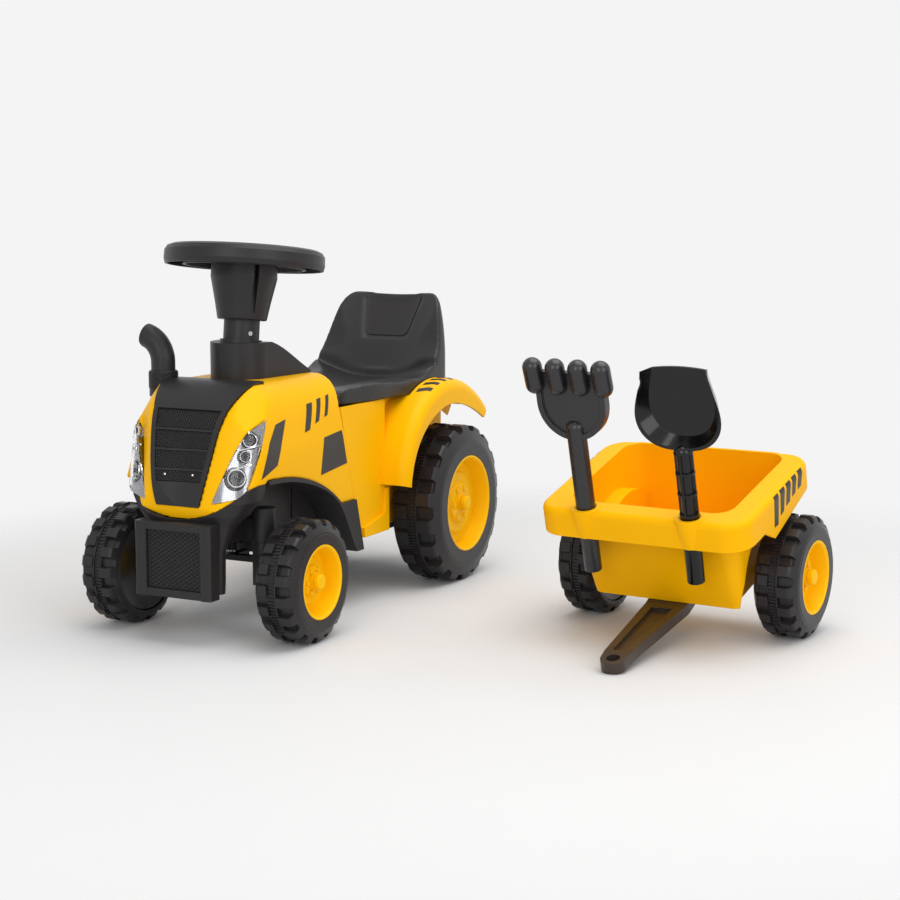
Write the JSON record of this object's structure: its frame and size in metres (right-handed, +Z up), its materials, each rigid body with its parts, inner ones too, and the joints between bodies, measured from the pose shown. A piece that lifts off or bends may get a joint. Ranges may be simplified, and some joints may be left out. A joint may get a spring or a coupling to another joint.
{
  "type": "ride on tractor toy",
  "caption": "Child's foot-to-floor ride-on tractor with steered front wheels, lifting seat lid, tipping garden trailer, rake and shovel.",
  "frame": {"origin": "on the floor under the middle of the whole set's box", "axes": "+X to the tractor's left, from the tractor to the trailer beside it; +Y towards the tractor's rear; +Z up"},
  "size_m": [0.7846, 0.5828, 0.4512],
  "materials": {
    "yellow_body": "satin moulded plastic",
    "yellow_wheel": "satin moulded plastic",
    "amber_bed": "satin moulded plastic",
    "black_plastic": "fine grain",
    "black_gloss": "glossy",
    "black_tyre": "moulded hard tyre",
    "steel": "drawn bar",
    "clear_lens": "clear plastic",
    "bright_reflector": "bright metallised"
  },
  "bodies": {
    "tractor": {"chassis_frame": "black_plastic", "front_apron": "black_plastic", "front_weight": "black_plastic", "arch_liner_left": "black_plastic", "arch_liner_right": "black_plastic", "hood": "yellow_body", "grille_panel": "black_plastic", "headlight_lens_left": "clear_lens", "headlight_lens_right": "clear_lens", "headlight_reflector_left": "bright_reflector", "headlight_reflector_right": "bright_reflector", "exhaust_base": "black_plastic", "exhaust_pipe": "black_plastic", "steering_cowl": "black_plastic", "column_bush": "black_plastic", "rear_body": "yellow_body", "seat_hinge_bracket": "black_plastic", "seat_hinge_pin": "steel", "rear_axle": "steel", "rear_axle_caps": "yellow_wheel", "hitch_bracket": "black_plastic", "hitch_pin": "black_plastic", "pan_screws": "steel"},
    "steering": {"steering_wheel": "black_plastic", "steering_sleeve": "black_plastic", "steering_column": "black_plastic", "steering_shaft": "steel", "steering_crank": "steel", "column_screw": "steel"},
    "horn": {"horn_button": "black_plastic"},
    "knuckle_left": {"steering_knuckle_left": "black_plastic", "front_axle_left": "steel", "front_axle_cap_left": "yellow_wheel"},
    "knuckle_right": {"steering_knuckle_right": "black_plastic", "front_axle_right": "steel", "front_axle_cap_right": "yellow_wheel"},
    "link": {"tie_rod": "black_plastic"},
    "front_wheel_left": {"front_tyre_left": "black_tyre", "front_hub_left": "yellow_wheel"},
    "front_wheel_right": {"front_tyre_right": "black_tyre", "front_hub_right": "yellow_wheel"},
    "rear_wheel_left": {"rear_tyre_left": "black_tyre", "rear_hub_left": "yellow_wheel"},
    "rear_wheel_right": {"rear_tyre_right": "black_tyre", "rear_hub_right": "yellow_wheel"},
    "seat_lid": {"seat": "black_plastic"},
    "trailer_running_gear": {"trailer_axle": "steel", "trailer_axle_caps": "yellow_wheel"},
    "trailer_bed": {"trailer_tub": "amber_bed", "drawbar_pin": "steel"},
    "drawbar": {"trailer_drawbar": "black_plastic"},
    "trailer_wheel_left": {"trailer_tyre_left": "black_tyre", "trailer_hub_left": "yellow_wheel"},
    "trailer_wheel_right": {"trailer_tyre_right": "black_tyre", "trailer_hub_right": "yellow_wheel"},
    "rake_tool": {"rake": "black_plastic"},
    "shovel_tool": {"shovel": "black_gloss"}
  },
  "joints": [
    {"name": "steering_turn", "type": "hinge", "parent": "tractor", "child": "steering", "pos_m": [-0.24735, -0.13245, 0.43002], "axis": [0, 0.1149, 0.9934], "range_deg": [-35, 35]},
    {"name": "horn_press", "type": "slide", "parent": "steering", "child": "horn", "axis": [0, -0.1149, -0.9934], "range_m": [0, 0.004], "stiffness_N_per_m": 600},
    {"name": "kingpin_turn_left", "type": "hinge", "parent": "tractor", "child": "knuckle_left", "pos_m": [-0.18035, -0.20545, 0.07072], "axis": [0, 0, 1], "range_deg": [-20, 20]},
    {"name": "kingpin_turn_right", "type": "hinge", "parent": "tractor", "child": "knuckle_right", "pos_m": [-0.31434, -0.20545, 0.07072], "axis": [0, 0, 1], "range_deg": [-20, 20]},
    {"name": "tie_rod_slide", "type": "slide", "parent": "tractor", "child": "link", "axis": [1, 0, 0], "range_m": [-0.0105, 0.0105]},
    {"name": "front_wheel_spin_left", "type": "hinge", "parent": "knuckle_left", "child": "front_wheel_left", "pos_m": [-0.10235, -0.20545, 0.07072], "axis": [1, 0, 0], "continuous": true},
    {"name": "front_wheel_spin_right", "type": "hinge", "parent": "knuckle_right", "child": "front_wheel_right", "pos_m": [-0.39234, -0.20545, 0.07072], "axis": [1, 0, 0], "continuous": true},
    {"name": "rear_wheel_spin_left", "type": "hinge", "parent": "tractor", "child": "rear_wheel_left", "pos_m": [-0.10634, 0.17855, 0.10252], "axis": [1, 0, 0], "continuous": true},
    {"name": "rear_wheel_spin_right", "type": "hinge", "parent": "tractor", "child": "rear_wheel_right", "pos_m": [-0.38834, 0.17855, 0.10252], "axis": [1, 0, 0], "continuous": true},
    {"name": "seat_lift", "type": "hinge", "parent": "tractor", "child": "seat_lid", "pos_m": [-0.24735, -0.04745, 0.25702], "axis": [1, 0, 0], "range_deg": [0, 65]},
    {"name": "trailer_roll", "type": "slide", "parent": "tractor", "child": "trailer_running_gear", "axis": [0.0889, 0.996, 0], "range_m": [0, 0.12]},
    {"name": "trailer_tip", "type": "hinge", "parent": "trailer_running_gear", "child": "trailer_bed", "pos_m": [0.23716, 0.08045, 0.07072], "axis": [-0.996, 0.0889, 0], "range_deg": [0, 30]},
    {"name": "drawbar_swing", "type": "hinge", "parent": "trailer_bed", "child": "drawbar", "pos_m": [0.23238, 0.02692, 0.04748], "axis": [-0.0238, -0.2667, 0.9635], "range_deg": [-12, 6]},
    {"name": "trailer_wheel_spin_left", "type": "hinge", "parent": "trailer_running_gear", "child": "trailer_wheel_left", "pos_m": [0.23716, 0.08045, 0.07072], "axis": [0.996, -0.0889, 0], "continuous": true},
    {"name": "trailer_wheel_spin_right", "type": "hinge", "parent": "trailer_running_gear", "child": "trailer_wheel_right", "pos_m": [0.23716, 0.08045, 0.07072], "axis": [0.996, -0.0889, 0], "continuous": true},
    {"name": "rake_lift", "type": "slide", "parent": "trailer_bed", "child": "rake_tool", "axis": [-0.0238, -0.2667, 0.9635], "range_m": [0, 0.11]},
    {"name": "shovel_lift", "type": "slide", "parent": "trailer_bed", "child": "shovel_tool", "axis": [-0.0238, -0.2667, 0.9635], "range_m": [0, 0.11]}
  ],
  "couplings": [
    {"joint": "kingpin_turn_left", "follows": "steering_turn", "ratio": 0.57143},
    {"joint": "kingpin_turn_right", "follows": "steering_turn", "ratio": 0.57143},
    {"joint": "tie_rod_slide", "follows": "steering_turn", "m_per_rad": -0.016901}
  ]
}
